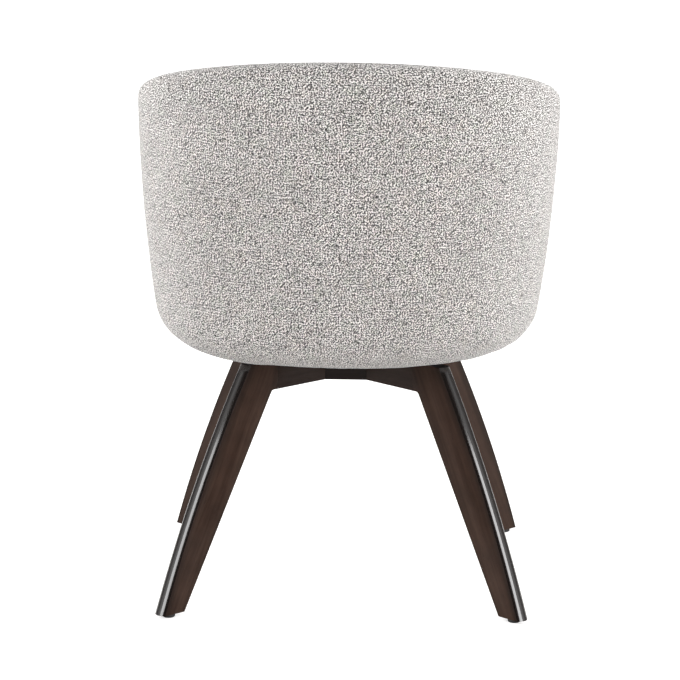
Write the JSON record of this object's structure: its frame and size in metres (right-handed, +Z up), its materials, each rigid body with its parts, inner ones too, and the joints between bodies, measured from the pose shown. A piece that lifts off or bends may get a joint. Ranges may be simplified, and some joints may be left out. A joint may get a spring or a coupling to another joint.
{
  "type": "swivel armchair",
  "caption": "Barrel-backed upholstered armchair whose padded tub turns half a turn on a ball-bearing swivel plate over a splayed wooden leg base.",
  "frame": {"origin": "on the floor under the swivel's axis, which is also the middle of the chair's box", "axes": "+Z up along the swivel's axis, the chair faces -Y, its back is towards +Y, and +X is to the right of someone who looks at its front"},
  "size_m": [0.6034, 0.5829, 0.7898],
  "materials": {
    "dark_wood": "dark espresso stain, satin lacquer",
    "beech": "bare turned beech",
    "plywood": "bare plywood",
    "black_plastic": "matte moulded plastic",
    "nylon": "natural moulded nylon",
    "black_steel": "black powder coat",
    "zinc_steel": "zinc plated steel",
    "bearing_steel": "polished hardened steel",
    "tweed": "flat salt-and-pepper tweed weave over wadding and foam",
    "foam": "bare cut polyurethane foam",
    "black_cloth": "thin black non-woven cloth"
  },
  "bodies": {
    "base": {"leg_rear_left": "dark_wood", "leg_rear_right": "dark_wood", "leg_front_left": "dark_wood", "leg_front_right": "dark_wood", "arm_rear_left": "dark_wood", "arm_rear_right": "dark_wood", "arm_front_left": "dark_wood", "arm_front_right": "dark_wood", "base_hub": "dark_wood", "hub_dowels": "beech", "leg_dowels": "beech", "glide_rear_left": "black_plastic", "glide_rear_right": "black_plastic", "glide_front_left": "black_plastic", "glide_front_right": "black_plastic", "swivel_bottom_plate": "black_steel", "bottom_plate_screws": "zinc_steel", "pivot_bush": "nylon"},
    "ball_ring": {"bearing_balls": "bearing_steel", "ball_cage": "nylon"},
    "seat": {"swivel_top_plate": "black_steel", "pivot_bolt": "zinc_steel", "pivot_washer": "zinc_steel", "pivot_nut": "zinc_steel", "stop_pin": "zinc_steel", "seat_plate_bolts": "zinc_steel", "seat_tee_nuts": "zinc_steel", "seat_board": "plywood", "tub_frame": "plywood", "front_rail": "plywood", "frame_screws": "zinc_steel", "outer_cover": "tweed", "inner_pad": "tweed", "arm_facing_left": "tweed", "arm_facing_right": "tweed", "front_band": "tweed", "deck_foam": "foam", "seat_cushion": "tweed", "dust_cover": "black_cloth", "dust_cover_staples": "zinc_steel"}
  },
  "joints": [
    {"name": "seat_swivel", "type": "hinge", "parent": "base", "child": "seat", "pos_m": [0, 0, 0.354], "axis": [0, 0, 1], "range_deg": [-90, 90]},
    {"name": "ball_ring_turn", "type": "hinge", "parent": "base", "child": "ball_ring", "pos_m": [0, 0, 0.354], "axis": [0, 0, 1], "range_deg": [-45, 45]}
  ],
  "couplings": [
    {"joint": "ball_ring_turn", "follows": "seat_swivel", "ratio": 0.5}
  ]
}
